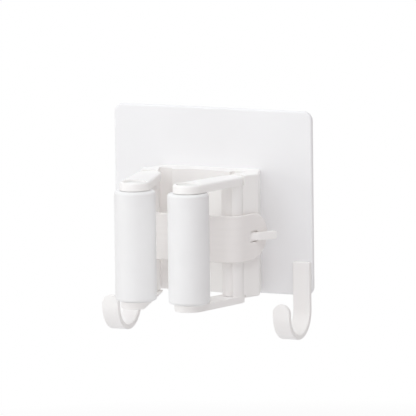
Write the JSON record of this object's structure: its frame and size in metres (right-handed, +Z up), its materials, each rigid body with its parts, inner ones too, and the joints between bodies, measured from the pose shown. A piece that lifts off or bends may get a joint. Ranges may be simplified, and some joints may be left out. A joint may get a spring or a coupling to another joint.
{
  "type": "wall mop holder rack",
  "caption": "Stick-on wall plate carrying a sprung clip with soft rollers on swinging arms that grips a mop or broom handle, and J hooks at its lower corners.",
  "frame": {"origin": "middle of the adhesive face that goes on the wall", "axes": "+X to the right along the wall, +Y into the wall, +Z up"},
  "size_m": [0.0946, 0.0624, 0.0973],
  "materials": {
    "adhesive": "clear tacky gel",
    "plate": "satin moulded white",
    "body": "satin moulded white",
    "hooks": "satin moulded white",
    "arms": "satin moulded white",
    "axles": "matt moulded white",
    "cores": "matt moulded white",
    "sleeves": "soft matt white",
    "strap": "soft matt white",
    "steel": "plain drawn"
  },
  "bodies": {
    "root": {"adhesive_pad": "adhesive", "back_plate": "plate", "base_screws": "steel", "clip_base": "body", "left_hook": "hooks", "right_hook": "hooks", "elastic_strap": "strap"},
    "left_arm": {"left_arm": "arms", "left_hinge_pin": "steel", "left_roller_axle": "axles"},
    "right_arm": {"right_arm": "arms", "right_hinge_pin": "steel", "right_roller_axle": "axles"},
    "left_roller": {"left_roller_core": "cores", "left_roller_sleeve": "sleeves"},
    "right_roller": {"right_roller_core": "cores", "right_roller_sleeve": "sleeves"}
  },
  "joints": [
    {"name": "left_arm_swing", "type": "hinge", "parent": "root", "child": "left_arm", "pos_m": [-0.0195, -0.0256, -0.0139], "axis": [0, 0, -1], "range_deg": [-5, 35], "stiffness_Nm_per_rad": 0.25},
    {"name": "right_arm_swing", "type": "hinge", "parent": "root", "child": "right_arm", "pos_m": [0.0195, -0.0256, -0.0139], "axis": [0, 0, 1], "range_deg": [-5, 35], "stiffness_Nm_per_rad": 0.25},
    {"name": "left_roller_spin", "type": "hinge", "parent": "left_arm", "child": "left_roller", "pos_m": [-0.01265, -0.0535, -0.0139], "axis": [0, 0, 1], "continuous": true},
    {"name": "right_roller_spin", "type": "hinge", "parent": "right_arm", "child": "right_roller", "pos_m": [0.01265, -0.0535, -0.0139], "axis": [0, 0, 1], "continuous": true}
  ]
}
